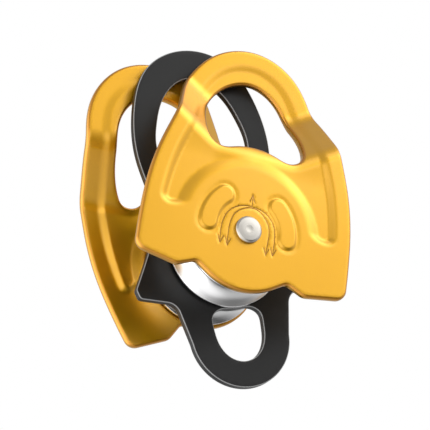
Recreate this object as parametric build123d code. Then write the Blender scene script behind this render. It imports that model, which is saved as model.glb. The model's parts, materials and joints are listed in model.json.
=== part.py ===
from build123d import *
import os
from math import cos, pi, sin

# Double sheave block: two rope sheaves side by side on one riveted axle, a flat centre
# plate between them with an upper eye and a lower becket eye, and two pressed side plates
# that swing on the axle's ends.
#
# Frame: the origin is on the axle, in the middle of the centre plate. +Z points to the
# upper eye, Y runs along the axle and the front side plate is at -Y. Millimetres.

# ---------------------------------------------------------------- driving dimensions
# How the block is stored: both side plates are swung open about the axle (+Y).
FRONT_SWING = 19.6
REAR_SWING = -17.3

# Axle: a rivet whose ends are formed over the side plates.
AXLE_R = 4.0
JOURNAL_R = 3.0
HEAD_R = 3.8
HEAD_H = 1.1
HEAD_BEVEL = 0.45
RUNNING_GAP = 0.05
END_FLOAT = 0.1

# Side plates: pressed sheet, flat beside the sheave and set in at the eye's loop.
PLATE_T = 2.4
PLATE_FACE = 19.0
LOOP_FACE = 5.6
RAMP_START = 23.1
RAMP_END = 40.7
RAMP_SLANT = 0.645
LEVEL_HALF = 12.0
BEND_R = 9.0
SHOULDER_X = 30.8
SHOULDER_Z = -6.0
PLATE_CORNER_Z = -12.4
PLATE_CORNER_R = 3.0
PLATE_FOOT = (18.8, -14.5)
PLATE_FOOT_R = 3.0
PLATE_NOTCH = (13.3, -12.1)
PLATE_NOTCH_R = 2.0
SKIRT_R = 17.4
SKIRT_START = (9.9, -14.31)

# Centre plate.
CENTRE_T = 2.4
CENTRE_CHAMFER = 0.35
SHOULDER_TIP = (28.2, -9.2)
SHOULDER_HEEL = (27.5, -11.9)
NECK = (17.2, -14.2)
NECK_R = 4.0
BECKET_SIDE = (14.7, -26.0)
BECKET_Z = -25.0
BECKET_R = 14.7

# Sheaves.
TREAD_R = 12.5
FLANGE_R = 17.0
LIP_W = 0.9
SHEAVE_NEAR = 2.0
SHEAVE_FAR = 15.9
SHOULDER_R = 8.4

# Ball bearings, 8 x 19 x 6.
BEARING_R = 9.5
BEARING_W = 6.0
BALL_R = 1.75
BALL_COUNT = 7
GROOVE_R = 1.82
INNER_LAND_R = 5.7
OUTER_LAND_R = 7.8
SEAL_SEAT_R = 8.1
SEAL_GAP = 0.15
SEAL_T = 0.4
SEAL_INSET = 0.1
CAGE_T = 0.9
CAGE_W = 4.5
POCKET_GAP = 0.08

# Spacers and thrust washers.
SPACER_R = 5.6
WASHER_R = 7.0
WASHER_T = 0.55

# ---------------------------------------------------------------- worked out from them
SHEAVE_MID = (SHEAVE_NEAR + SHEAVE_FAR) / 2
PITCH_R = (INNER_LAND_R + OUTER_LAND_R) / 2
BEARING_NEAR = SHEAVE_MID - BEARING_W / 2
BEARING_FAR = SHEAVE_MID + BEARING_W / 2
PLATE_INNER = PLATE_FACE - PLATE_T
WASHER_FAR = PLATE_INNER - END_FLOAT
WASHER_NEAR = WASHER_FAR - WASHER_T
HEAD_BASE = PLATE_FACE + END_FLOAT
HEAD_TOP = HEAD_BASE + HEAD_H
SHEET_REACH = 60.0

FRONT = -1
REAR = 1

os.makedirs("parts", exist_ok=True)


def turned(points):
    """Solid of revolution about the axle from (distance along Y, radius) corners."""
    with BuildPart() as part:
        with BuildSketch(Plane.XY):
            with BuildLine():
                Polyline(*[(radius, along) for along, radius in points], close=True)
            make_face()
        revolve(axis=Axis.Y)
    return part.part


def tube(near, far, inner, outer):
    """Plain ring on the axle between two places along Y."""
    return turned([(near, inner), (far, inner), (far, outer), (near, outer)])


def on_side(solid, side):
    """Parts of one side are drawn at +Y; the front side is their mirror image."""
    return solid if side == REAR else mirror(solid, about=Plane.XZ)


# ---------------------------------------------------------------- axle and its stack
def make_axle():
    """One stepped rivet with both bevelled heads."""
    half = [
        (0, 0),
        (0, AXLE_R),
        (WASHER_FAR, AXLE_R),
        (WASHER_FAR, JOURNAL_R),
        (HEAD_BASE, JOURNAL_R),
        (HEAD_BASE, HEAD_R),
        (HEAD_TOP - HEAD_BEVEL, HEAD_R),
        (HEAD_TOP, HEAD_R - HEAD_BEVEL),
        (HEAD_TOP, 0),
    ]
    rear = turned(half)
    return rear + mirror(rear, about=Plane.XZ)


def make_inner_spacer():
    return tube(CENTRE_T / 2, BEARING_NEAR, AXLE_R, SPACER_R)


def make_outer_spacer():
    return tube(BEARING_FAR, WASHER_NEAR, AXLE_R, SPACER_R)


def make_thrust_washer():
    return tube(WASHER_NEAR, WASHER_FAR, AXLE_R, WASHER_R)


# ---------------------------------------------------------------- sheave
def make_sheave():
    """Grooved wheel, bored for the bearing up to a shoulder on the centre plate's side."""
    with BuildPart() as sheave:
        with BuildSketch(Plane.XY):
            with BuildLine():
                Polyline(
                    (FLANGE_R, SHEAVE_NEAR + LIP_W),
                    (FLANGE_R, SHEAVE_NEAR),
                    (SHOULDER_R, SHEAVE_NEAR),
                    (SHOULDER_R, BEARING_NEAR),
                    (BEARING_R, BEARING_NEAR),
                    (BEARING_R, SHEAVE_FAR),
                    (FLANGE_R, SHEAVE_FAR),
                    (FLANGE_R, SHEAVE_FAR - LIP_W),
                )
                ThreePointArc(
                    (FLANGE_R, SHEAVE_FAR - LIP_W),
                    (TREAD_R, SHEAVE_MID),
                    (FLANGE_R, SHEAVE_NEAR + LIP_W),
                )
            make_face()
        revolve(axis=Axis.Y)
    return sheave.part


# ---------------------------------------------------------------- ball bearing
def race_groove():
    """Ring-shaped cutter that rounds both raceways."""
    return Pos(0, SHEAVE_MID, 0) * Rot(90, 0, 0) * Torus(PITCH_R, GROOVE_R)


def make_inner_ring():
    return tube(BEARING_NEAR, BEARING_FAR, AXLE_R, INNER_LAND_R) - race_groove()


def make_outer_ring():
    """Outer race with a step at each face where a seal is pressed in."""
    seat = SEAL_T + SEAL_INSET
    ring = turned([
        (BEARING_NEAR, BEARING_R),
        (BEARING_FAR, BEARING_R),
        (BEARING_FAR, SEAL_SEAT_R),
        (BEARING_FAR - seat, SEAL_SEAT_R),
        (BEARING_FAR - seat, OUTER_LAND_R),
        (BEARING_NEAR + seat, OUTER_LAND_R),
        (BEARING_NEAR + seat, SEAL_SEAT_R),
        (BEARING_NEAR, SEAL_SEAT_R),
    ])
    return ring - race_groove()


def make_near_seal():
    near = BEARING_NEAR + SEAL_INSET
    return tube(near, near + SEAL_T, INNER_LAND_R + SEAL_GAP, SEAL_SEAT_R)


def make_far_seal():
    far = BEARING_FAR - SEAL_INSET
    return tube(far - SEAL_T, far, INNER_LAND_R + SEAL_GAP, SEAL_SEAT_R)


def ball_places():
    """Centre of each ball, evenly round the pitch circle."""
    for index in range(BALL_COUNT):
        turn = 2 * pi * index / BALL_COUNT
        yield Pos(PITCH_R * sin(turn), SHEAVE_MID, PITCH_R * cos(turn))


def make_balls():
    return Compound(children=[place * Sphere(BALL_R) for place in ball_places()])


def make_cage():
    cage = tube(
        SHEAVE_MID - CAGE_W / 2,
        SHEAVE_MID + CAGE_W / 2,
        PITCH_R - CAGE_T / 2,
        PITCH_R + CAGE_T / 2,
    )
    for place in ball_places():
        cage -= place * Sphere(BALL_R + POCKET_GAP)
    return cage


# ---------------------------------------------------------------- side plate
def over_the_top(top, flank):
    """Points of the left flank, the top and the right flank, for one smooth curve."""
    return [*[(-x, z) for x, z in reversed(flank)], top, *flank]


def eye_curve(top, flank, floor):
    """Closed smooth curve through a top, two mirrored flanks and a floor."""
    return Spline(floor, *over_the_top(top, flank), periodic=True)


def side_plate_outline():
    """Bell-shaped outline: a round loop on top, square shoulders, a round skirt below."""
    with BuildSketch(Plane.XZ) as outline:
        with BuildLine():
            flank = [(12.1, 55.3), (20.0, 43.4), (23.9, 31.6), (28.0, 18.8), (30.2, 6.5)]
            Spline(*over_the_top((0, 59.8), [*flank, (SHOULDER_X, SHOULDER_Z)]))
            side = [(SHOULDER_X, SHOULDER_Z), (SHOULDER_X, PLATE_CORNER_Z)]
            side += [PLATE_FOOT, PLATE_NOTCH, SKIRT_START]
            for hand in (1, -1):
                Polyline([(hand * x, z) for x, z in side])
            ThreePointArc(SKIRT_START, (0, -SKIRT_R), (-SKIRT_START[0], SKIRT_START[1]))
        make_face()
        bends = [(PLATE_CORNER_Z, PLATE_CORNER_R)]
        bends += [(PLATE_FOOT[1], PLATE_FOOT_R), (PLATE_NOTCH[1], PLATE_NOTCH_R)]
        for level, radius in bends:
            fillet([v for v in outline.vertices() if abs(v.Y - level) < 0.01], radius=radius)
    return outline.sketch


def side_plate_eye():
    """Upper eye: a round top, long flanks, rounded lower corners and a bowed floor."""
    with BuildSketch(Plane.XZ) as eye:
        with BuildLine():
            flank = [(8.3, 45.8), (12.4, 39.4), (14.5, 29.3), (13.5, 25.2), (10.2, 23.4), (5.6, 24.6)]
            eye_curve((0, 49.5), flank, (0, 25.6))
        make_face()
    return eye.sketch


def ramp_profile(x):
    """Section of the bent sheet at a place along X: side face, ramp, set-in loop."""
    with BuildSketch(Plane.YZ.offset(x)) as profile:
        with BuildLine():
            outer = FilletPolyline(
                (PLATE_FACE, -SHEET_REACH),
                (PLATE_FACE, RAMP_START),
                (LOOP_FACE, RAMP_END),
                (LOOP_FACE, 2 * SHEET_REACH),
                radius=BEND_R,
            )
            offset(outer, amount=PLATE_T, side=Side.LEFT)
        make_face()
    return profile.sketch


def bent_sheet():
    """Pressed sheet: bends level across the eye, then square to the loop's two legs."""
    level = extrude(ramp_profile(-LEVEL_HALF), amount=2 * LEVEL_HALF)
    right = extrude(ramp_profile(LEVEL_HALF), amount=SHEET_REACH, dir=(1, 0, RAMP_SLANT))
    left = mirror(right, about=Plane.YZ)
    return level + right + left


def make_side_plate():
    """Pressed side plate, drawn upright on the rear side."""
    blank = extrude(side_plate_outline() - side_plate_eye(), amount=-2 * PLATE_FACE)
    plate = blank & bent_sheet()
    bore = Rot(90, 0, 0) * Cylinder(JOURNAL_R + RUNNING_GAP, 4 * PLATE_FACE)
    return plate - bore


# ---------------------------------------------------------------- centre plate
def centre_plate_outline():
    """Loop of the upper eye, a waist beside the sheaves, shoulders and the becket."""
    with BuildSketch(Plane.XZ) as outline:
        with BuildLine():
            flank = [(12.2, 55.4), (18.6, 43.5), (20.2, 28.0), (18.5, 13.0), (22.5, 1.2)]
            Spline(*over_the_top((0, 60.0), [*flank, SHOULDER_TIP]))
            for hand in (1, -1):
                Polyline([(hand * x, z) for x, z in (SHOULDER_TIP, SHOULDER_HEEL, NECK, BECKET_SIDE)])
            left_side = (-BECKET_SIDE[0], BECKET_SIDE[1])
            ThreePointArc(BECKET_SIDE, (0, BECKET_Z - BECKET_R), left_side)
        make_face()
        corners = outline.vertices()
        fillet([v for v in corners if abs(abs(v.X) - NECK[0]) < 0.01], radius=NECK_R)
        fillet([v for v in corners if abs(v.X) > SHOULDER_HEEL[0] - 0.01], radius=1.2)
    return outline.sketch


def centre_plate_eyes():
    """Upper eye and becket eye."""
    with BuildSketch(Plane.XZ) as eyes:
        with BuildLine():
            flank = [(8.6, 46.5), (12.5, 38.6), (13.9, 31.0), (11.6, 24.6), (5.6, 22.2)]
            eye_curve((0, 51.4), flank, (0, 21.8))
        make_face()
        with BuildLine():
            flank = [(4.6, -17.0), (7.2, -18.9), (7.5, -22.0), (6.9, -26.4), (4.4, -30.5)]
            eye_curve((0, -17.0), flank, (0, -32.2))
        make_face()
    return eyes.sketch


def make_centre_plate():
    """Flat plate with eased edges, bored for the axle."""
    plate = extrude(centre_plate_outline() - centre_plate_eyes(), amount=CENTRE_T / 2, both=True)
    rims = plate.edges().filter_by(lambda edge: abs(abs(edge.center().Y) - CENTRE_T / 2) < 0.01)
    plate = chamfer(rims, length=CENTRE_CHAMFER)
    return plate - Rot(90, 0, 0) * Cylinder(AXLE_R, 2 * CENTRE_T)


# ---------------------------------------------------------------- the block
nodes = {
    "centre_plate": make_centre_plate(),
    "axle": make_axle(),
}
for side, word, swing in ((FRONT, "front", FRONT_SWING), (REAR, "rear", REAR_SWING)):
    nodes[f"{word}_side_plate"] = Rot(0, swing, 0) * on_side(make_side_plate(), side)
    nodes[f"{word}_thrust_washer"] = on_side(make_thrust_washer(), side)
    nodes[f"{word}_outer_spacer"] = on_side(make_outer_spacer(), side)
    nodes[f"{word}_inner_spacer"] = on_side(make_inner_spacer(), side)
    nodes[f"{word}_sheave"] = on_side(make_sheave(), side)
    nodes[f"{word}_bearing_outer_ring"] = on_side(make_outer_ring(), side)
    nodes[f"{word}_bearing_inner_ring"] = on_side(make_inner_ring(), side)
    nodes[f"{word}_bearing_balls"] = on_side(make_balls(), side)
    nodes[f"{word}_bearing_cage"] = on_side(make_cage(), side)
    nodes[f"{word}_bearing_near_seal"] = on_side(make_near_seal(), side)
    nodes[f"{word}_bearing_far_seal"] = on_side(make_far_seal(), side)

for name, shape in nodes.items():
    export_step(shape, f"parts/{name}.step")
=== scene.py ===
import json
import math

import bpy
import numpy as np
from mathutils import Matrix, Vector
from mathutils.geometry import delaunay_2d_cdt


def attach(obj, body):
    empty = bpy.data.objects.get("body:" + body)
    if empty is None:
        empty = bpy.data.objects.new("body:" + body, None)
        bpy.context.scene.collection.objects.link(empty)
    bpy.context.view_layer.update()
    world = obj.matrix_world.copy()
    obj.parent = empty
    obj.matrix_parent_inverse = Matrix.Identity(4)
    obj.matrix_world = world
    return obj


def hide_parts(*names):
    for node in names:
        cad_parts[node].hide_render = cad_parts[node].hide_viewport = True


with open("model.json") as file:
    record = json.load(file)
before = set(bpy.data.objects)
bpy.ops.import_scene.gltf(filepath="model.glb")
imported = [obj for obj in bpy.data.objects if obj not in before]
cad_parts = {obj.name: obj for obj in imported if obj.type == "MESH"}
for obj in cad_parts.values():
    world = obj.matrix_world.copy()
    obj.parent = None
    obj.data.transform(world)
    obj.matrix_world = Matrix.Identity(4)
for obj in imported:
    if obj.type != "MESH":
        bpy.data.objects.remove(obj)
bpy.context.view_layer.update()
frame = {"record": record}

# Double sheave block: the visible pieces are rebuilt here as fine meshes on the packed
# model's own sizes. Lengths are in millimetres until a mesh is written, then in metres.
# Plates are drawn upright as (u, v): u across, v up from the axle. The front is at -Y.
MM = 0.001

# ---------------------------------------------------------------- sizes, as in the CAD
# Degrees that each side plate is turned from upright, about +Y.
FRONT_SWING = 19.6
REAR_SWING = -17.3

# Side plates. The ramp that sets the loop in runs from RAMP_START to RAMP_END up the plate.
# It starts RAMP_SLANT higher for each mm outside the level stretch at the plate's middle.
# RAMP_BEND is the share of its length that each of its two bends takes. OUTSET is how far
# the pressed rim stands outside the CAD's plain outline.
PLATE_T = 2.4
PLATE_FACE = 19.0
LOOP_SET_IN = 13.4
RAMP_START = 20.16
RAMP_END = 43.64
RAMP_BEND = 0.25
RAMP_SLANT = 0.645
LEVEL_HALF = 12.0
LEVEL_EASE = 2.0
SHOULDER = (30.8, -6.0)
PLATE_CORNER = (30.8, -12.4)
PLATE_FOOT = (18.8, -14.5)
PLATE_NOTCH = (13.3, -12.1)
SKIRT_R = 17.4
SKIRT_START = (9.9, -14.31)
PLATE_EDGE_R = 0.8
OUTSET = 0.25
BORE_R = 3.05
BORE_EDGE_R = 0.2

# Centre plate.
CENTRE_T = 2.4
CENTRE_EDGE_R = 0.30
AXLE_HOLE_EDGE_R = 0.1
SHOULDER_TIP = (28.2, -9.2)
SHOULDER_HEEL = (27.5, -11.9)
NECK = (17.2, -14.2)
BECKET_SIDE = (14.7, -26.0)
BECKET_Z = -25.0
BECKET_R = 14.7
AXLE_R = 4.0

# Sheaves. NEAR and FAR are distances from the centre plate's middle.
TREAD_R = 12.5
FLANGE_R = 17.0
LIP_W = 0.9
LIP_EDGE_R = 0.12
SHEAVE_NEAR = 2.0
SHEAVE_FAR = 15.9
SHOULDER_R = 8.4
BEARING_R = 9.5
BEARING_NEAR = 5.95

# Axle, a rivet with a bevelled head at each end and a shallow dimple in each head.
JOURNAL_R = 3.0
WASHER_FAR = 16.5
HEAD_R = 3.8
HEAD_BASE = 19.1
HEAD_TOP = 20.2
HEAD_BEVEL_W = 0.55
HEAD_BEVEL_H = 0.4
DIMPLE_R = 0.9
DIMPLE_DEPTH = 0.05

# ---------------------------------------------------------------- relief of the side plates
# The pocket is the pressed-in land between the raised rim and the raised disc. Each EASE
# is under 1 to make that side's slope gentler than POCKET_SLOPE.
RIM_W = 5.3
RIM_EASE = 0.85
DISC_R = 19.5
DISC_EASE = 0.55
POCKET_LOW = 2.4
POCKET_ROUND = 2.2
POCKET_SLOPE = 2.0
POCKET_CREST = 0.7
POCKET_DEPTH = 0.85

# The pocket is shallow over the disc's middle, and round the loop it keeps only a share.
CROWN_FADE = 0.65
CROWN_ACROSS = (1.5, 13.0)
CROWN_UP = (24.0, 32.0)
LOOP_SHARE = 0.35
LOOP_UP = (18.0, 34.0)

# Kidney-shaped pads beside the axle, each with a faint trough round it.
PAD_R = 11.7
PAD_HALF = 2.85
PAD_LOW = math.radians(0)
PAD_HIGH = math.radians(48)
PAD_RISE = 0.30
PAD_SLOPE = 0.85
TROUGH_DEPTH = 0.10
TROUGH_PLACE = 0.25
TROUGH_W = 0.5

# Engraved rope paths.
GROOVE_W = 0.40
GROOVE_FLAT = 0.03
GROOVE_DEPTH = 0.12
ARROW_HALF = 0.75
ARROW_LENGTH = 1.9

# ---------------------------------------------------------------- fineness of the meshes
# A rounded edge has EDGE_STEPS strips of faces. A plate's grid keeps RIM_CLEARANCE mm off
# its rims, and ROW_CLEARANCE of its own spacing off the relief's finer rows. Those rows lie
# at these offsets from a pad's outline and an engraved line, thinned to about LEAST_GAP.
EDGE_STEPS = 5
RIM_CLEARANCE = 0.4
ROW_CLEARANCE = 0.7
PAD_ROWS = np.arange(-1.05, 0.36, 0.2)
PAD_ROW_STEP = 0.35
GROOVE_ROWS = np.linspace(-1, 1, 7) * GROOVE_W * 0.6
LEAST_GAP = 0.11


# ---------------------------------------------------------------- plane curves
def over_the_top(top, flank):
    """Points of the left flank, the top and the right flank, for one smooth curve."""
    return [*[(-x, z) for x, z in reversed(flank)], top, *flank]


def spline(points, closed=False, step=0.25):
    """Smooth cubic curve through points, sampled every step."""
    knots = np.array(points + points[:1] if closed else points, float)
    gaps = np.linalg.norm(np.diff(knots, axis=0), axis=1)
    places = np.concatenate([[0], np.cumsum(gaps)])
    count = len(knots)
    system = np.zeros((count, count))
    right = np.zeros((count, 2))
    for i in range(1, count - 1):
        a, b = gaps[i - 1], gaps[i]
        system[i, i - 1:i + 2] = a, 2 * (a + b), b
        right[i] = 6 * ((knots[i + 1] - knots[i]) / b - (knots[i] - knots[i - 1]) / a)
    system[0, 0] = 1
    if closed:
        a, b = gaps[-1], gaps[0]
        system[0, -1] = -1
        system[-1, [-2, -1, 0, 1]] = a, 2 * a, 2 * b, b
        right[-1] = 6 * ((knots[1] - knots[0]) / b - (knots[-1] - knots[-2]) / a)
    else:
        system[-1, -1] = 1
    bend = np.linalg.solve(system, right)
    t = np.linspace(0, places[-1], max(2, int(places[-1] / step)))
    i = np.clip(np.searchsorted(places, t, side="right") - 1, 0, count - 2)
    h = gaps[i][:, None]
    a = (places[i + 1] - t)[:, None] / h
    b = 1 - a
    curve = a * knots[i] + b * knots[i + 1]
    curve += ((a ** 3 - a) * bend[i] + (b ** 3 - b) * bend[i + 1]) * h * h / 6
    return curve[:-1] if closed else curve


def arc(centre, radius, start, end, step=0.25):
    """Points on an arc between two angles in radians."""
    count = max(2, int(abs(end - start) * radius / step))
    t = np.linspace(start, end, count)
    return np.stack([centre[0] + radius * np.cos(t), centre[1] + radius * np.sin(t)], axis=1)


def rounded_corner(before, corner, after, radius):
    """Arc that replaces a corner between two straight lines."""
    before, corner, after = (np.array(p, float) for p in (before, corner, after))
    one = (before - corner) / np.linalg.norm(before - corner)
    two = (after - corner) / np.linalg.norm(after - corner)
    half = math.acos(np.clip(one @ two, -1, 1)) / 2
    middle = (one + two) / np.linalg.norm(one + two)
    centre = corner + middle * radius / math.sin(half)
    ends = [corner + way * radius / math.tan(half) - centre for way in (one, two)]
    start, end = (math.atan2(e[1], e[0]) for e in ends)
    end = start + (end - start + math.pi) % (2 * math.pi) - math.pi
    return arc(centre, radius, start, end, step=min(0.25, radius / 5))


def rounded_path(points, radii):
    """Open path of straight lines with its inner corners rounded."""
    path = [np.array([points[0]], float)]
    for before, corner, after, radius in zip(points, points[1:], points[2:], radii):
        path.append(rounded_corner(before, corner, after, radius))
    path.append(np.array([points[-1]], float))
    return np.concatenate(path)


def even_loop(points, spacing):
    """Closed loop sampled again at an even spacing, without its repeated points."""
    loop = np.vstack([points, points[:1]])
    gaps = np.linalg.norm(np.diff(loop, axis=0), axis=1)
    keep = np.concatenate([[True], gaps > 1e-6])
    loop = loop[keep]
    run = np.concatenate([[0], np.cumsum(np.linalg.norm(np.diff(loop, axis=0), axis=1))])
    count = int(round(run[-1] / spacing))
    t = np.linspace(0, run[-1], count, endpoint=False)
    return np.stack([np.interp(t, run, loop[:, k]) for k in (0, 1)], axis=1)


def turned_way(loop, anticlockwise):
    """The loop itself or reversed, so that it runs the way asked for."""
    x, z = loop[:, 0], loop[:, 1]
    area = np.sum(x * np.roll(z, -1) - np.roll(x, -1) * z)
    return loop if (area > 0) == anticlockwise else loop[::-1]


def inward(loop):
    """Unit normals to the left of the way a closed loop runs."""
    way = np.roll(loop, -1, axis=0) - np.roll(loop, 1, axis=0)
    way /= np.linalg.norm(way, axis=1)[:, None]
    return np.stack([-way[:, 1], way[:, 0]], axis=1)


def grown(loop, amount):
    """Closed loop moved outwards by an amount."""
    loop = turned_way(loop, True)
    return loop - inward(loop) * amount


def inside(points, loop):
    """Which points lie inside a closed loop."""
    x, z = points[:, 0][:, None], points[:, 1][:, None]
    x0, z0 = loop[:, 0], loop[:, 1]
    x1, z1 = np.roll(x0, -1), np.roll(z0, -1)
    spans = (z0 > z) != (z1 > z)
    with np.errstate(divide="ignore", invalid="ignore"):
        cross = x < (x1 - x0) * (z - z0) / (z1 - z0) + x0
    return (np.sum(spans & cross, axis=1) % 2).astype(bool)


def within(points, loops):
    """Which points lie inside the first loop and outside all the others."""
    keep = inside(points, loops[0])
    for hole in loops[1:]:
        keep &= ~inside(points, hole)
    return keep


def distance(points, path):
    """Distance from each point to the nearest sample of a fine path."""
    best = np.full(len(points), 1e9)
    for start in range(0, len(path), 200):
        part = path[start:start + 200]
        gaps = np.linalg.norm(points[:, None, :] - part[None, :, :], axis=2)
        best = np.minimum(best, gaps.min(axis=1))
    return best


def smooth_step(value, low, high):
    """0 up to low, 1 from high on, and an S-curve between them."""
    t = np.clip((value - low) / (high - low), 0, 1)
    return t * t * (3 - 2 * t)


# ---------------------------------------------------------------- meshes
def new_piece(name, points, faces, slot, body):
    """Closed smooth mesh from points in millimetres, in its slot's material, on a body."""
    mesh = bpy.data.meshes.new(name)
    mesh.from_pydata((np.asarray(points) * MM).tolist(), [], faces)
    mesh.validate()
    mesh.shade_smooth()
    mesh.materials.append(BY_SLOT[slot])
    piece = bpy.data.objects.new(name, mesh)
    bpy.context.scene.collection.objects.link(piece)
    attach(piece, body)
    return piece


def lathe(profile, segments=192):
    """Solid of revolution about Y from a (y, radius) profile, closed or ending on the axis."""
    profile = np.asarray(profile, float)
    on_axis = profile[0, 1] < 1e-9
    ring_rows = profile[1:-1] if on_axis else profile
    angles = np.linspace(0, 2 * math.pi, segments, endpoint=False)
    points = [(r * math.sin(a), y, r * math.cos(a)) for y, r in ring_rows for a in angles]
    faces = []
    rows = len(ring_rows)
    for row in range(rows - 1 if on_axis else rows):
        near, far = row * segments, (row + 1) % rows * segments
        for k in range(segments):
            n = (k + 1) % segments
            faces.append((near + k, near + n, far + n, far + k))
    if on_axis:
        points += [(0, profile[0, 0], 0), (0, profile[-1, 0], 0)]
        first, last = len(points) - 2, len(points) - 1
        for k in range(segments):
            n = (k + 1) % segments
            faces.append((first, n, k))
            faces.append((last, (rows - 1) * segments + k, (rows - 1) * segments + n))
    return np.array(points), faces


def grid_points(loops, spacing, extra):
    """Inner points of a plate: a triangular grid and finer rows along its relief."""
    low, high = loops[0].min(axis=0), loops[0].max(axis=0)
    rows = np.arange(low[1], high[1], spacing * math.sqrt(3) / 2)
    grid = np.array([
        (x, z)
        for k, z in enumerate(rows)
        for x in np.arange(low[0] + (k % 2) * spacing / 2, high[0], spacing)
    ])
    if len(extra):
        grid = grid[distance(grid, extra) > ROW_CLEARANCE * spacing]
        grid = np.vstack([extra, grid])
    grid = grid[within(grid, loops)]
    for loop in loops:
        grid = grid[distance(grid, loop) > RIM_CLEARANCE]
    return grid


def edge_rows(loops, edge_radii):
    """Rows of points that round every rim, each loop's from its wall in to its face.

    Returns the points, how far each lies below the face, how far round the edge it is, 1 at
    45 degrees, and for each loop the indices that its rows start at.
    """
    angles = np.linspace(0, math.pi / 2, EDGE_STEPS + 1)
    uv, drop, turn, starts = [], [], [], []
    count = 0
    for loop, radius in zip(loops, edge_radii):
        normal = inward(loop)
        for angle in angles:
            uv.append(loop + normal * radius * (1 - math.cos(angle)))
            drop.append(np.full(len(loop), radius * (1 - math.sin(angle))))
            turn.append(np.full(len(loop), math.sin(2 * angle)))
        starts.append([count + k * len(loop) for k in range(len(angles))])
        count += len(angles) * len(loop)
    return np.concatenate(uv), np.concatenate(drop), np.concatenate(turn), starts


def face_triangles(uv, loops, loop_starts, filling_start):
    """Triangles of a face between the loops, over its rims' last rows and its filling."""
    index_of, edges = [], []
    for loop, start in zip(loops, loop_starts):
        first = len(index_of)
        index_of += range(start, start + len(loop))
        edges += [(first + k, first + (k + 1) % len(loop)) for k in range(len(loop))]
    index_of += range(filling_start, len(uv))
    corners = [Vector(uv[i]) for i in index_of]
    triangles = delaunay_2d_cdt(corners, edges, [], 1, 1e-7)[2]
    triangles = np.array([[index_of[i] for i in triangle] for triangle in triangles])
    middles = uv[triangles].mean(axis=1)
    return triangles[within(middles, loops)]


def rim_faces(size, starts, back):
    """Faces of one rim: both rounded edges and the wall between them.

    starts are the front's rows, from the wall in. The back's lie back points further on.
    """
    faces = []
    wall = starts[0]
    for k in range(size):
        m = (k + 1) % size
        for low, high in zip(starts, starts[1:]):
            faces.append((low + k, low + m, high + m, high + k))
            faces.append((back + high + k, back + high + m, back + low + m, back + low + k))
        faces.append((back + wall + k, back + wall + m, wall + m, wall + k))
    return faces


def plate_mesh(loops, edge_radii, front, back, spacing, extra=()):
    """Sheet between two height functions, with every rim rounded on both faces.

    front(uv) and back(uv) give the faces' places along Y; front is the lower of the two.
    Returns the points, the faces and how far round its edge each point lies, 1 at 45 degrees.
    """
    loops = [turned_way(loop, k == 0) for k, loop in enumerate(loops)]
    face_loops = [loop + inward(loop) * radius for loop, radius in zip(loops, edge_radii)]
    uv, drop, turn, starts = edge_rows(loops, edge_radii)
    filling = grid_points(face_loops, spacing, np.asarray(extra, float))
    filling_start = len(uv)
    uv = np.concatenate([uv, filling])
    drop = np.concatenate([drop, np.zeros(len(filling))])
    turn = np.concatenate([turn, np.zeros(len(filling))])
    triangles = face_triangles(uv, face_loops, [rows[-1] for rows in starts], filling_start)

    count = len(uv)
    y = np.concatenate([front(uv) + drop, back(uv) - drop])
    points = np.stack([np.tile(uv[:, 0], 2), y, np.tile(uv[:, 1], 2)], axis=1)
    faces = [tuple(t) for t in triangles]
    faces += [tuple(count + i for i in reversed(t)) for t in triangles]
    for loop, rows in zip(loops, starts):
        faces += rim_faces(len(loop), rows, count)
    return points, faces, np.tile(turn, 2)


def swung(points, degrees):
    """Points turned about the axle by the right-hand rule about +Y."""
    c, s = math.cos(math.radians(degrees)), math.sin(math.radians(degrees))
    x, y, z = np.asarray(points).T
    return np.stack([x * c + z * s, y, -x * s + z * c], axis=1)


def mirrored(points, faces):
    """The same piece on the other side of the centre plate."""
    points = np.asarray(points) * (1, -1, 1)
    return points, [tuple(reversed(face)) for face in faces]


# ---------------------------------------------------------------- outlines
def side_plate_outline():
    """Bell-shaped outline: a round loop on top, square shoulders, a round skirt below."""
    flank = [(12.1, 55.3), (20.0, 43.4), (23.9, 31.6), (28.0, 18.8), (30.2, 6.5), SHOULDER]
    bell = spline(over_the_top((0, 59.8), flank))
    side = [SHOULDER, PLATE_CORNER, PLATE_FOOT, PLATE_NOTCH, SKIRT_START]
    right = rounded_path(side, radii=(3.0, 3.0, 2.0))[1:]
    left = right[::-1] * (-1, 1)
    start = math.atan2(SKIRT_START[1], SKIRT_START[0])
    skirt = arc((0, 0), SKIRT_R, start, -math.pi - start)[1:-1]
    outline = np.concatenate([bell, right, skirt, left[:-1]])
    return grown(even_loop(outline, spacing=0.45), OUTSET)


def side_plate_eye():
    """Eye of the loop, wide below with two round corners."""
    flank = [(8.3, 45.8), (12.4, 39.4), (14.5, 29.3), (13.5, 25.2), (10.2, 23.4), (5.6, 24.6)]
    eye = spline([(0, 25.6), *over_the_top((0, 49.5), flank)], closed=True)
    return even_loop(eye, spacing=0.4)


def centre_plate_outline():
    """Loop of the upper eye, a waist beside the sheaves, shoulders and the becket."""
    flank = [(12.2, 55.4), (18.6, 43.5), (20.2, 28.0), (18.5, 13.0), (22.5, 1.2)]
    upper = spline(over_the_top((0, 60.0), [*flank, SHOULDER_TIP]))
    # The curve's last points at each end make way for the shoulder tip's rounding.
    side = [upper[-4], SHOULDER_TIP, SHOULDER_HEEL, NECK, BECKET_SIDE]
    right = rounded_path(side, radii=(1.2, 1.2, 4.0))[1:]
    left = right[::-1] * (-1, 1)
    drop = BECKET_Z - BECKET_R - BECKET_SIDE[1]
    radius = (BECKET_SIDE[0] ** 2 + drop ** 2) / (2 * -drop)
    centre = (0, BECKET_Z - BECKET_R + radius)
    start = math.atan2(BECKET_SIDE[1] - centre[1], BECKET_SIDE[0])
    foot = arc(centre, radius, start, -math.pi - start)
    return even_loop(np.concatenate([upper[3:-3], right, foot, left]), spacing=0.4)


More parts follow.
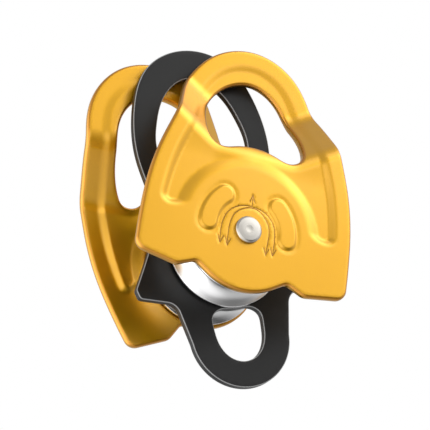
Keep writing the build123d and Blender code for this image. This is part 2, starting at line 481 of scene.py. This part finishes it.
def centre_plate_upper_eye():
    """Egg-shaped eye at the top of the centre plate."""
    flank = [(8.6, 46.5), (12.5, 38.6), (13.9, 31.0), (11.6, 24.6), (5.6, 22.2)]
    eye = spline([(0, 21.8), *over_the_top((0, 51.4), flank)], closed=True)
    return even_loop(eye, spacing=0.4)


def becket_eye():
    """Eye at the foot of the centre plate, flat on top."""
    flank = [(4.6, -17.0), (7.2, -18.9), (7.5, -22.0), (6.9, -26.4), (4.4, -30.5)]
    eye = spline([(0, -32.2), *over_the_top((0, -17.0), flank)], closed=True)
    return even_loop(eye, spacing=0.3)


def circle(radius, spacing=0.4):
    """Circle round the axle."""
    return even_loop(arc((0, 0), radius, 0, 2 * math.pi)[:-1], spacing)


# ---------------------------------------------------------------- side plate's relief
def ramp(uv):
    """How far the loop is set in, and how steeply, at each place of a side plate."""
    across = np.abs(uv[:, 0])
    slant = 0.5 * (across + LEVEL_HALF + np.hypot(across - LEVEL_HALF, LEVEL_EASE))
    slant -= LEVEL_HALF
    length = RAMP_END - RAMP_START
    t = np.clip((uv[:, 1] - RAMP_SLANT * slant - RAMP_START) / length, 0, 1)
    b = RAMP_BEND
    k = 1 / (1 - b)
    set_in = np.where(t < b, k * t * t / (2 * b), k * (t - b / 2))
    set_in = np.where(t > 1 - b, 1 - k * (1 - t) ** 2 / (2 * b), set_in)
    slope = k * np.minimum(1, np.minimum(t, 1 - t) / b) * LOOP_SET_IN / length
    return LOOP_SET_IN * set_in, slope


def pad_distance(uv):
    """Signed distance to the nearer of the two kidney-shaped pads beside the axle."""
    x, z = np.abs(uv[:, 0]), uv[:, 1]
    angle = np.clip(np.arctan2(z, x), PAD_LOW, PAD_HIGH)
    near = np.stack([PAD_R * np.cos(angle), PAD_R * np.sin(angle)], axis=1)
    return np.hypot(x - near[:, 0], z - near[:, 1]) - PAD_HALF


def rope_marks():
    """Centre lines of the engraved rope paths over the axle and their arrow heads."""
    outer = [(-7.6, -5.6), (-7.6, 0.6), (-6.2, 4.1), (-3.2, 6.4), (0.6, 7.0), (4.6, 6.0)]
    outer += [(7.2, 3.2), (8.0, -0.6), (8.0, -5.6)]
    inner = [(-5.4, -5.8), (-5.4, 0.6), (-4.4, 3.8), (-1.8, 6.0), (1.4, 6.6), (4.2, 4.9)]
    inner += [(6.0, 2.0), (6.2, -2.0), (6.0, -5.8)]
    lines = [spline(path, step=0.2) for path in (outer, inner)]
    stem = spline([(0.3, 7.0), (0.2, 10.4)], step=0.2)
    lines.append(stem)
    tips = [(path[end], -1) for end in (0, -1) for path in (outer, inner)]
    tips.append((stem[-1], 1))
    for tip, way in tips:
        for hand in (-1, 1):
            barb = (tip[0] + hand * ARROW_HALF, tip[1] - way * ARROW_LENGTH)
            lines.append(spline([tuple(tip), barb], step=0.12))
    return lines


def relief_rows(marks):
    """Finer rows of points along the pads' slopes and the engraved lines."""
    rows = []
    low, high = PAD_LOW, PAD_HIGH
    caps = [(PAD_R * math.cos(a), PAD_R * math.sin(a)) for a in (low, high)]
    for offset in PAD_ROWS:
        half = PAD_HALF + offset
        pad = np.concatenate([
            arc((0, 0), PAD_R + half, low, high, PAD_ROW_STEP),
            arc(caps[1], half, high, high + math.pi, PAD_ROW_STEP),
            arc((0, 0), PAD_R - half, high, low, PAD_ROW_STEP),
            arc(caps[0], half, low - math.pi, low, PAD_ROW_STEP),
        ])
        rows += [pad, pad * (-1, 1)]
    for line in marks:
        way = np.gradient(line, axis=0)
        way /= np.linalg.norm(way, axis=1)[:, None]
        side = np.stack([-way[:, 1], way[:, 0]], axis=1)
        for offset in GROOVE_ROWS:
            rows.append(line + side * offset)
    points = np.concatenate(rows)
    cells = np.round(points / LEAST_GAP).astype(int)
    first = np.unique(cells, axis=0, return_index=True)[1]
    return points[np.sort(first)]


def sunk(uv, outline):
    """How far the land between the rim and the disc is pressed in, from 0 to 1."""
    from_rim = RIM_EASE * (distance(uv, outline) - RIM_W)
    from_disc = DISC_EASE * (np.hypot(uv[:, 0], uv[:, 1]) - DISC_R)
    from_foot = uv[:, 1] - POCKET_LOW
    corner = [np.maximum(POCKET_ROUND - field, 0) for field in (from_rim, from_disc, from_foot)]
    field = POCKET_ROUND - np.sqrt(sum(part ** 2 for part in corner))
    over_disc = 1 - smooth_step(uv[:, 1], *CROWN_UP)
    fade = 1 - CROWN_FADE * over_disc * (1 - smooth_step(np.abs(uv[:, 0]), *CROWN_ACROSS))
    fade *= 1 - (1 - LOOP_SHARE) * smooth_step(uv[:, 1], *LOOP_UP)
    t = np.clip(field / POCKET_SLOPE + 0.5, 0, 1)
    return fade * t * t * (1 + POCKET_CREST - POCKET_CREST * t)


def side_plate_height(outline, marks):
    """Function that gives the outer face's height above the axle's middle."""
    all_marks = np.concatenate(marks)

    def height(uv, engraved=True):
        set_in = ramp(uv)[0]
        beyond = pad_distance(uv)
        pad = PAD_RISE * smooth_step(-beyond, 0, PAD_SLOPE)
        trough = TROUGH_DEPTH * np.exp(-((beyond - TROUGH_PLACE) / TROUGH_W) ** 2)
        face = PLATE_FACE - set_in - POCKET_DEPTH * sunk(uv, outline) + pad - trough
        if engraved:
            near = distance(uv, all_marks)
            face -= GROOVE_DEPTH * (1 - smooth_step(near, GROOVE_FLAT, GROOVE_W / 2))
        return face

    return height


def side_plate_mesh(marks):
    """One side plate, upright on the front side."""
    outline = side_plate_outline()
    height = side_plate_height(outline, marks)

    def outer(uv):
        return -height(uv)

    def inner(uv):
        slope = ramp(uv)[1]
        return -height(uv, engraved=False) + PLATE_T * np.sqrt(1 + slope ** 2)

    loops = [outline, side_plate_eye(), circle(BORE_R)]
    radii = (PLATE_EDGE_R, PLATE_EDGE_R, BORE_EDGE_R)
    return plate_mesh(loops, radii, outer, inner, spacing=0.55, extra=relief_rows(marks))


# ---------------------------------------------------------------- materials
# A noise's values lie mostly between these two.
NOISE_RANGE = (0.3, 0.7)
GRAIN_DEPTH = 0.00002
MOULD_DEPTH = 0.00005

# Clear sealed layer of the dyed gold plates, and the tint of the engraved lines: partly their own
# darker colour, partly painted shade for a narrow groove's steep walls.
COAT_WEIGHT = 0.75
COAT_ROUGHNESS = 0.22
COAT_IOR = 1.6
ENGRAVED_TINT_AND_SHADE = (0.50, 0.42, 0.5)


def material(name, color, metallic, roughness):
    """Node material with its constants on the shader's own sockets."""
    mat = bpy.data.materials.new(name)
    mat.use_nodes = True
    shader = mat.node_tree.nodes["Principled BSDF"]
    shader.inputs["Base Color"].default_value = (*color, 1)
    shader.inputs["Metallic"].default_value = metallic
    shader.inputs["Roughness"].default_value = roughness
    return mat, mat.node_tree, shader


def add_noise(tree, vector, scale, detail):
    """Noise over a vector socket; scale is in cells per metre."""
    noise = tree.nodes.new("ShaderNodeTexNoise")
    noise.inputs["Scale"].default_value = scale
    noise.inputs["Detail"].default_value = detail
    tree.links.new(vector, noise.inputs["Vector"])
    return noise.outputs["Fac"]


def object_place(tree):
    """Socket with each point's place on the object, in metres."""
    return tree.nodes.new("ShaderNodeTexCoord").outputs["Object"]


def add_ramp(tree, source, ends):
    """Ramp between two colours or two grey values, over the middle of a noise's range."""
    node = tree.nodes.new("ShaderNodeValToRGB")
    for stop, position, end in zip(node.color_ramp.elements, NOISE_RANGE, ends):
        stop.position = position
        stop.color = (*end, 1) if isinstance(end, tuple) else (end, end, end, 1)
    tree.links.new(source, node.inputs["Fac"])
    return node.outputs["Color"]


def add_bump(tree, shader, source, strength, depth):
    """Fine surface texture; depth in metres."""
    bump = tree.nodes.new("ShaderNodeBump")
    bump.inputs["Strength"].default_value = strength
    bump.inputs["Distance"].default_value = depth
    tree.links.new(source, bump.inputs["Height"])
    tree.links.new(bump.outputs["Normal"], shader.inputs["Normal"])


def add_mix(tree, factor, color, other):
    """Mix of a colour socket with one other colour, by a factor socket."""
    node = tree.nodes.new("ShaderNodeMix")
    node.data_type = "RGBA"
    node.inputs["B"].default_value = (*other, 1)
    tree.links.new(factor, node.inputs["Factor"])
    tree.links.new(color, node.inputs["A"])
    return node.outputs["Result"]


def add_layer(tree, name, gain):
    """A value stored on the mesh, times a gain."""
    stored = tree.nodes.new("ShaderNodeAttribute")
    stored.attribute_name = name
    share = tree.nodes.new("ShaderNodeMath")
    share.operation = "MULTIPLY"
    share.inputs[1].default_value = gain
    tree.links.new(stored.outputs["Fac"], share.inputs[0])
    return share.outputs["Value"]


def anodised(name, dye, roughness, metallic, ior, edge, painted_edge_light_and_shade_share):
    """Anodised sheet: clouded dye, a matt grain, darkened engraved lines and painted edges.

    dye and roughness are (lowest, highest) pairs. The engraved lines get their own darker tint
    and painted shade. edge is the colour painted on the edges' roundings, by the share after
    it: painted shade on the gold, a painted highlight on the black. Where metallic is 1 the
    sealed layer shows as a clear coat.
    """
    mat, tree, shader = material(name, dye[0], metallic, roughness[0])
    shader.inputs["IOR"].default_value = ior
    shader.inputs["Coat Weight"].default_value = COAT_WEIGHT * metallic
    shader.inputs["Coat Roughness"].default_value = COAT_ROUGHNESS
    shader.inputs["Coat IOR"].default_value = COAT_IOR
    place = object_place(tree)
    color = add_ramp(tree, add_noise(tree, place, scale=45.0, detail=3.0), dye)
    # Engraved lines: their own darker colour, with painted shade that stands in for a narrow
    # groove's steep walls.
    line = tuple(value * tint for value, tint in zip(dye[0], ENGRAVED_TINT_AND_SHADE))
    color = add_mix(tree, add_layer(tree, "engraved", 1.0), color, line)
    # Painted light on the edges' roundings: a darker painted shade on the gold plates, a painted
    # highlight on the black one.
    color = add_mix(tree, add_layer(tree, "edge", painted_edge_light_and_shade_share), color, edge)
    tree.links.new(color, shader.inputs["Base Color"])
    dull = add_ramp(tree, add_noise(tree, place, scale=160.0, detail=5.0), roughness)
    tree.links.new(dull, shader.inputs["Roughness"])
    grain = add_noise(tree, place, scale=5200.0, detail=2.0)
    add_bump(tree, shader, grain, 0.10, GRAIN_DEPTH)
    return mat


def add_turning(tree):
    """Noise over the distance from the axle's line and the place along it."""
    split = tree.nodes.new("ShaderNodeSeparateXYZ")
    flat = tree.nodes.new("ShaderNodeCombineXYZ")
    length = tree.nodes.new("ShaderNodeVectorMath")
    length.operation = "LENGTH"
    join = tree.nodes.new("ShaderNodeCombineXYZ")
    tree.links.new(object_place(tree), split.inputs["Vector"])
    tree.links.new(split.outputs["X"], flat.inputs["X"])
    tree.links.new(split.outputs["Z"], flat.inputs["Z"])
    tree.links.new(flat.outputs["Vector"], length.inputs[0])
    tree.links.new(length.outputs["Value"], join.inputs["X"])
    tree.links.new(split.outputs["Y"], join.inputs["Y"])
    return add_noise(tree, join.outputs["Vector"], scale=2600.0, detail=3.0)


def turned_metal(name, tint, roughness):
    """Turned metal: tool marks that run round the axle."""
    mat, tree, shader = material(name, tint[0], 1.0, roughness[0])
    marks = add_turning(tree)
    tree.links.new(add_ramp(tree, marks, tint), shader.inputs["Base Color"])
    tree.links.new(add_ramp(tree, marks, roughness), shader.inputs["Roughness"])
    add_bump(tree, shader, marks, 0.04, GRAIN_DEPTH)
    return mat


def moulded(name, tint, roughness):
    """Moulded polymer with a faint grain."""
    mat, tree, shader = material(name, tint[0], 0.0, roughness)
    cloud = add_noise(tree, object_place(tree), scale=700.0, detail=3.0)
    tree.links.new(add_ramp(tree, cloud, tint), shader.inputs["Base Color"])
    add_bump(tree, shader, cloud, 0.2, MOULD_DEPTH)
    return mat


def grey(value):
    return (value, value, value)


# The material of each slot in the record, by the slot's name.
BY_SLOT = {
    # The gold's edge colour is painted shade: a dark orange line along every rounded edge.
    "gold_anodised": anodised(
        "gold_anodised", dye=((0.70, 0.355, 0.002), (0.725, 0.368, 0.004)),
        roughness=(0.38, 0.43), metallic=1.0, ior=1.5, edge=(0.46, 0.15, 0.001), painted_edge_light_and_shade_share=0.7),
    # The black's edge colour is a painted highlight: a light grey line along every rounded edge.
    "black_anodised": anodised(
        "black_anodised", dye=(grey(0.005), grey(0.008)),
        roughness=(0.36, 0.44), metallic=0.0, ior=1.38, edge=grey(0.38), painted_edge_light_and_shade_share=0.8),
    "turned_aluminium": turned_metal(
        "turned_aluminium", tint=(grey(0.80), grey(0.84)), roughness=(0.27, 0.31)),
    "axle_steel": turned_metal(
        "axle_steel", tint=((0.50, 0.475, 0.43), (0.55, 0.525, 0.48)), roughness=(0.26, 0.34)),
    "bearing_steel": turned_metal(
        "bearing_steel", tint=((0.62, 0.62, 0.63), (0.72, 0.72, 0.73)), roughness=(0.10, 0.18)),
    "spacer_aluminium": turned_metal(
        "spacer_aluminium", tint=((0.66, 0.66, 0.67), (0.76, 0.76, 0.77)), roughness=(0.25, 0.35)),
    "washer_polymer": moulded("washer_polymer", tint=(grey(0.06), grey(0.09)), roughness=0.45),
    "cage_polymer": moulded(
        "cage_polymer", tint=((0.45, 0.36, 0.20), (0.55, 0.45, 0.27)), roughness=0.5),
    "seal_rubber": moulded("seal_rubber", tint=(grey(0.02), grey(0.035)), roughness=0.6),
}


# ---------------------------------------------------------------- pieces
def keep_layer(piece, name, values):
    """Stores one value for each point of a mesh, for its material to read."""
    layer = piece.data.attributes.new(name, "FLOAT", "POINT")
    layer.data.foreach_set("value", values.astype(np.float32))


def make_side_plates():
    """Both side plates, the rear one mirrored, with the layers that darken their engraving and
    paint shade on their edges.
    """
    marks = rope_marks()
    points, faces, edge = side_plate_mesh(marks)
    near = distance(points[:, [0, 2]], np.concatenate(marks))
    outer = np.arange(len(points)) < len(points) // 2
    engraved = np.where(outer, 1 - smooth_step(near, 2 * GROOVE_FLAT, GROOVE_W / 2), 0)
    place = swung(points, FRONT_SWING)
    front = new_piece("front_plate_skin", place, faces, "gold_anodised", "front_plate")
    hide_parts("front_side_plate")
    points, faces = mirrored(points, faces)
    place = swung(points, REAR_SWING)
    rear = new_piece("rear_plate_skin", place, faces, "gold_anodised", "rear_plate")
    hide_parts("rear_side_plate")
    # The engraved layer darkens the grooves, partly as painted shade; the edge layer paints shade
    # on the edges' roundings.
    for plate in (front, rear):
        keep_layer(plate, "engraved", engraved)
        keep_layer(plate, "edge", edge)


def make_centre_plate():
    """The flat centre plate with its two eyes and the axle's hole."""
    loops = [centre_plate_outline(), centre_plate_upper_eye(), becket_eye(), circle(AXLE_R)]
    radii = (CENTRE_EDGE_R, CENTRE_EDGE_R, CENTRE_EDGE_R, AXLE_HOLE_EDGE_R)

    def front(uv):
        return np.full(len(uv), -CENTRE_T / 2)

    def back(uv):
        return np.full(len(uv), CENTRE_T / 2)

    points, faces, edge = plate_mesh(loops, radii, front, back, spacing=1.2)
    plate = new_piece("centre_plate_skin", points, faces, "black_anodised", "centre_frame")
    # Its edge layer carries a painted highlight along the rounded edges.
    keep_layer(plate, "edge", edge)
    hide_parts("centre_plate")


def sheave_profile():
    """Closed (y, radius) profile of a sheave with eased lips and a round groove."""
    middle = (SHEAVE_NEAR + SHEAVE_FAR) / 2
    half = (SHEAVE_FAR - SHEAVE_NEAR) / 2 - LIP_W
    depth = FLANGE_R - TREAD_R
    radius = (half ** 2 + depth ** 2) / (2 * depth)
    centre = (middle, TREAD_R + radius)
    edge = math.atan2(FLANGE_R - centre[1], half)
    groove = arc(centre, radius, edge, -math.pi - edge, 0.3)
    near, near_in = (SHEAVE_NEAR, FLANGE_R), (SHEAVE_NEAR + LIP_W, FLANGE_R)
    far, far_in = (SHEAVE_FAR, FLANGE_R), (SHEAVE_FAR - LIP_W, FLANGE_R)
    near_lip = rounded_corner(groove[-2], near_in, near, LIP_EDGE_R)
    far_lip = rounded_corner(far, far_in, groove[1], LIP_EDGE_R)
    bore = [
        (SHEAVE_NEAR, SHOULDER_R), (BEARING_NEAR, SHOULDER_R), (BEARING_NEAR, BEARING_R),
        (SHEAVE_FAR, BEARING_R),
    ]
    radii = (0.25, 0.2, 0.08, 0.08, 0.2, 0.25)
    sides = rounded_path([near_in, near, *bore, far, far_in], radii)[1:-1]
    return np.concatenate([near_lip, sides, far_lip, groove[1:-1]])


def make_sheaves():
    """Both sheaves; the front one is the mirror image of the rear one."""
    points, faces = lathe(sheave_profile())
    rear = new_piece("rear_sheave_skin", points, faces, "turned_aluminium", "rear_wheel")
    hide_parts("rear_sheave")
    points, faces = mirrored(points, faces)
    front = new_piece("front_sheave_skin", points, faces, "turned_aluminium", "front_wheel")
    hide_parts("front_sheave")


def axle_profile():
    """(y, radius) profile of the whole rivet, from one head's middle to the other's."""
    floor = HEAD_TOP - DIMPLE_DEPTH
    dimple = [(floor, 0), (floor + 0.01, 0.4), (HEAD_TOP, DIMPLE_R)]
    head = [(HEAD_TOP, DIMPLE_R + 0.3), (HEAD_TOP, HEAD_R - HEAD_BEVEL_W),
            (HEAD_TOP - HEAD_BEVEL_H, HEAD_R), (HEAD_BASE, HEAD_R)]
    shank = [(HEAD_BASE, JOURNAL_R), (WASHER_FAR, JOURNAL_R), (WASHER_FAR, AXLE_R), (0, AXLE_R)]
    rim = rounded_path([*head, *shank], (0.3, 0.25, 0.1, 0.05, 0.05, 0.1))
    rear = np.concatenate([dimple, rim])
    front = rear[::-1][1:] * (-1, 1)
    return np.concatenate([rear, front])


def make_axle():
    """The rivet that holds the block together."""
    points, faces = lathe(axle_profile(), segments=128)
    axle = new_piece("axle_skin", points, faces, "axle_steel", "centre_frame")
    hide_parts("axle")


def dress_cad_nodes():
    """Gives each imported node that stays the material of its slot."""
    for entry in frame["record"]["subparts"]:
        piece = bpy.data.objects.get(entry["node"])
        if piece is None or piece.type != "MESH":
            continue
        piece.data.materials.clear()
        piece.data.materials.append(BY_SLOT[entry["material_slot"]])


# ---------------------------------------------------------------- stage, light, camera
# The stage is in metres.
FLOOR_HALF = 3
FLOOR_LEVEL = -0.32


def make_floor():
    """Pale floor, hidden from reflections so that the studio's lower parts show in them."""
    ways = [(-1, -1), (1, -1), (1, 1), (-1, 1)]
    points = [(x * FLOOR_HALF, y * FLOOR_HALF, FLOOR_LEVEL) for x, y in ways]
    mesh = bpy.data.meshes.new("floor")
    mesh.from_pydata(points, [], [(0, 1, 2, 3)])
    mesh.materials.append(material("floor_paper", grey(0.85), 0.0, 0.8)[0])
    floor = bpy.data.objects.new("floor", mesh)
    bpy.context.scene.collection.objects.link(floor)
    floor.visible_glossy = False


# Soft boxes round the block, as directions from it: degrees off that direction where each
# starts and where it is full, and what it adds to the room's even white. The last darkens.
STUDIO = (
    ((0.66, -0.58, 0.44), 26, 8, 1.90),         # front right, above
    ((0.80, -0.25, 0.55), 24, 10, 1.20),        # right, above
    ((0.90, -0.38, 0.15), 52, 22, 0.38),        # right, wide
    ((-0.95, 0.10, -0.05), 60, 25, 2.20),       # left, wide
    ((-0.54, -0.45, -0.69), 45, 15, 0.70),      # front left, below
    ((-0.30, -0.95, -0.02), 30, 12, 1.30),      # front
    ((0.35, -0.78, -0.50), 34, 16, -0.45),      # front, below
)
ROOM = 0.60


def add_soft_box(tree, place, total, direction, start, full, gain):
    """Adds one soft box to a strength socket, and gives the new total's socket."""
    dot = tree.nodes.new("ShaderNodeVectorMath")
    dot.operation = "DOT_PRODUCT"
    dot.inputs[1].default_value = Vector(direction).normalized()
    tree.links.new(place, dot.inputs[0])
    box = tree.nodes.new("ShaderNodeMapRange")
    box.interpolation_type = "SMOOTHSTEP"
    box.inputs["From Min"].default_value = math.cos(math.radians(start))
    box.inputs["From Max"].default_value = math.cos(math.radians(full))
    box.inputs["To Max"].default_value = gain
    tree.links.new(dot.outputs["Value"], box.inputs["Value"])
    add = tree.nodes.new("ShaderNodeMath")
    tree.links.new(box.outputs["Result"], add.inputs[0])
    tree.links.new(total, add.inputs[1])
    return add.outputs["Value"]


def make_world():
    """Studio light: even white and the soft boxes; the camera itself sees plain white."""
    world = bpy.data.worlds.new("studio")
    bpy.context.scene.world = world
    world.use_nodes = True
    tree = world.node_tree
    place = tree.nodes.new("ShaderNodeTexCoord").outputs["Generated"]
    total = tree.nodes.new("ShaderNodeValue").outputs["Value"]
    total.default_value = ROOM
    for box in STUDIO:
        total = add_soft_box(tree, place, total, *box)
    seen = tree.nodes.new("ShaderNodeLightPath")
    mix = tree.nodes.new("ShaderNodeMix")
    tree.links.new(seen.outputs["Is Camera Ray"], mix.inputs["Factor"])
    tree.links.new(total, mix.inputs["A"])
    mix.inputs["B"].default_value = 1.0
    tree.links.new(mix.outputs["Result"], tree.nodes["Background"].inputs["Strength"])
    tree.nodes["Background"].inputs["Color"].default_value = (1, 1, 1, 1)


def area_light(name, direction, distance_m, size, power):
    """Square soft box that faces the block's middle."""
    light = bpy.data.lights.new(name, "AREA")
    light.shape = "SQUARE"
    light.size = size
    light.energy = power
    lamp = bpy.data.objects.new(name, light)
    way = Vector(direction).normalized()
    lamp.location = way * distance_m
    lamp.rotation_euler = way.to_track_quat("Z", "Y").to_euler()
    bpy.context.scene.collection.objects.link(lamp)


# The photograph's viewing angle. The camera aims across and up from the block's middle.
CAMERA_AZIMUTH = math.radians(-24.98)
CAMERA_ELEVATION = math.radians(-15.14)
CAMERA_ROLL = math.radians(-11.33)
CAMERA_AIM = (-2.01, 10.13)
CAMERA_DISTANCE = 692.3
CAMERA_LENS = 207.2


def make_camera():
    """Long lens at the photograph's angle, rolled a little, aimed above the axle."""
    az, el, roll = CAMERA_AZIMUTH, CAMERA_ELEVATION, CAMERA_ROLL
    back = Vector((math.sin(az) * math.cos(el), -math.cos(az) * math.cos(el), math.sin(el)))
    level = Vector((math.cos(az), math.sin(az), 0))
    upright = back.cross(level)
    right = level * math.cos(roll) + upright * math.sin(roll)
    up = upright * math.cos(roll) - level * math.sin(roll)
    place = (right * CAMERA_AIM[0] + up * CAMERA_AIM[1] + back * CAMERA_DISTANCE) * MM
    data = bpy.data.cameras.new("camera")
    data.lens = CAMERA_LENS
    data.clip_start = 0.01
    camera = bpy.data.objects.new("camera", data)
    turn = Matrix((right, up, back)).transposed().to_4x4()
    camera.matrix_world = Matrix.Translation(place) @ turn
    bpy.context.scene.collection.objects.link(camera)
    bpy.context.scene.camera = camera


make_camera()
make_side_plates()
make_centre_plate()
make_sheaves()
make_axle()
dress_cad_nodes()
make_floor()
make_world()
area_light("key", direction=(0.45, -0.55, 0.75), distance_m=0.45, size=0.18, power=0.12)
area_light("sheen", direction=(0.143, -0.271, 0.110), distance_m=0.324, size=0.06, power=0.015)
bpy.context.scene.view_settings.view_transform = "Standard"
